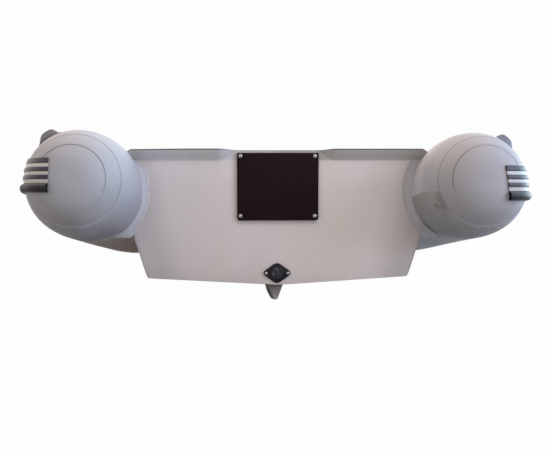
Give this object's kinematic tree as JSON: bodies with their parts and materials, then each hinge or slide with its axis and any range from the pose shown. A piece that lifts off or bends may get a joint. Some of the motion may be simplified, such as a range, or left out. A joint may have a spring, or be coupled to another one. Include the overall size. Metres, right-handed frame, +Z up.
{
  "type": "rigid inflatable boat",
  "caption": "Rigid inflatable boat: vee hull and transom inside air tubes with domed ends and a rubbing strake, with motor pads, thwart, turning oarlocks and a lidded bow locker.",
  "frame": {"origin": "on the centre plane in the still water plane, one metre ahead of the foot of the transom", "axes": "+Y points to the bow, +X to starboard and +Z up"},
  "size_m": [1.601, 2.6843, 0.7167],
  "materials": {
    "gelcoat": "satin gelcoat",
    "liner": "satin gelcoat",
    "tube_fabric": "matt coated fabric",
    "band": "matt, with darker ribs",
    "black_rubber": "matt",
    "grey_rubber": "matt",
    "pad_plastic": "matt",
    "black_plastic": "satin",
    "steel": "polished"
  },
  "bodies": {
    "boat": {"hull": "gelcoat", "transom": "gelcoat", "skeg": "gelcoat", "sole": "liner", "cockpit_side_port": "liner", "cockpit_side_starboard": "liner", "thwart": "liner", "bow_locker": "liner", "tube_port": "tube_fabric", "tube_starboard": "tube_fabric", "tube_bow": "tube_fabric", "tube_end_port": "tube_fabric", "tube_end_starboard": "tube_fabric", "transom_collar_port": "tube_fabric", "transom_collar_starboard": "tube_fabric", "rub_band_port": "band", "rub_band_starboard": "band", "rub_roll_port": "black_rubber", "rub_roll_starboard": "black_rubber", "oarlock_pad_port": "black_rubber", "oarlock_pad_starboard": "black_rubber", "grab_handle_aft_port": "grey_rubber", "grab_handle_aft_starboard": "grey_rubber", "grab_handle_fore_port": "grey_rubber", "grab_handle_fore_starboard": "grey_rubber", "grab_handle_bow": "grey_rubber", "tow_patch_port": "grey_rubber", "tow_patch_starboard": "grey_rubber", "seat_chock_port": "grey_rubber", "seat_chock_starboard": "grey_rubber", "motor_pad_outer": "pad_plastic", "motor_pad_inner": "pad_plastic", "drain_flange": "black_plastic", "drain_plug": "black_plastic", "valve_port": "black_plastic", "valve_starboard": "black_plastic", "valve_bow": "black_plastic", "lifting_eye_port": "steel", "lifting_eye_starboard": "steel", "bow_eye": "steel", "tow_ring_port": "steel", "tow_ring_starboard": "steel"},
    "oarlock_port": {"oarlock_fork_port": "black_plastic"},
    "oarlock_starboard": {"oarlock_fork_starboard": "black_plastic"},
    "lid": {"locker_lid": "liner"}
  },
  "joints": [
    {"name": "oarlock_port_turn", "type": "hinge", "parent": "boat", "child": "oarlock_port", "pos_m": [-0.611, -0.07, 0.38428], "axis": [0, 0, 1], "continuous": true},
    {"name": "oarlock_starboard_turn", "type": "hinge", "parent": "boat", "child": "oarlock_starboard", "pos_m": [0.611, -0.07, 0.38428], "axis": [0, 0, 1], "continuous": true},
    {"name": "lid_hinge", "type": "hinge", "parent": "boat", "child": "lid", "pos_m": [0, 0.772, 0.265], "axis": [-1, 0, 0], "range_deg": [0, 100]}
  ]
}
